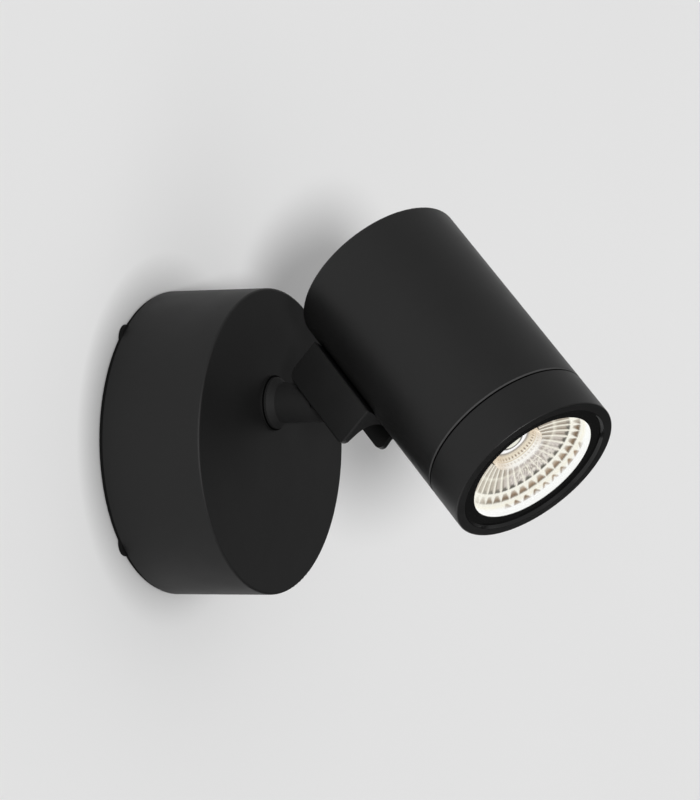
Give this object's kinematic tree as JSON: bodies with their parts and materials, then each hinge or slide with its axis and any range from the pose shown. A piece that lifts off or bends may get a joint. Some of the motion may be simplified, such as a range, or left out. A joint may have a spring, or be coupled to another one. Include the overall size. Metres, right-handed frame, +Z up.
{
  "type": "outdoor wall spotlight",
  "caption": "Wall spotlight: a round drum base with a swivel stem and a cylindrical lamp head that tilts on a grooved hinge block, with a faceted reflector behind glass.",
  "frame": {"origin": "centre of the drum's back on the wall", "axes": "+Y into the wall, the light stands out along -Y, +Z up, +X to the right seen from the room"},
  "size_m": [0.11, 0.1688, 0.1372],
  "materials": {
    "black_coat": "fine satin-matt powder coat",
    "black_rubber": "matt",
    "zinc_steel": "zinc plated",
    "brass": "turned",
    "white_plastic": "moulded",
    "bearing_plastic": "moulded",
    "grey_plastic": "moulded",
    "bare_aluminium": "extruded",
    "board_white": "white solder mask",
    "gloss_black": "gloss",
    "clear_glass": "clear toughened",
    "bright_mirror": "metallised facets",
    "lit_source": "warm white, lit"
  },
  "bodies": {
    "base": {"wall_gasket": "black_rubber", "wall_plate": "zinc_steel", "base_cover": "black_coat", "cover_screws": "zinc_steel", "cable_grommet": "black_rubber", "led_driver": "white_plastic", "terminal_block": "white_plastic", "terminal_screws": "brass", "plate_screws": "zinc_steel", "earth_screw": "brass", "swivel_bush": "bearing_plastic"},
    "swivel": {"stem": "black_coat", "swivel_seal": "black_rubber", "stop_washer": "zinc_steel", "spring_washer": "zinc_steel", "lock_nut": "zinc_steel"},
    "head": {"hinge_block": "black_coat", "pivot_screw": "zinc_steel", "friction_washers": "bearing_plastic", "bracket_screws": "zinc_steel", "wire_grommet": "black_rubber", "head_body": "black_coat", "trim_ring": "grey_plastic", "seam_gasket": "black_rubber", "rear_cap": "black_coat", "front_bezel": "black_coat", "bezel_oring": "black_rubber", "front_glass": "clear_glass", "glass_seal": "black_rubber", "aperture_mask": "gloss_black", "reflector": "bright_mirror", "led_emitter": "lit_source", "led_board": "board_white", "board_screws": "zinc_steel", "heat_sink": "bare_aluminium", "sink_screws": "zinc_steel"}
  },
  "joints": [
    {"name": "pan", "type": "hinge", "parent": "base", "child": "swivel", "pos_m": [0, -0.0402, 0.0138], "axis": [0, 1, 0], "range_deg": [-173.34, 146.66]},
    {"name": "tilt", "type": "hinge", "parent": "swivel", "child": "head", "pos_m": [0, -0.06565, 0.0138], "axis": [0.973, 0, -0.2307], "range_deg": [-32.05, 42.95]}
  ]
}
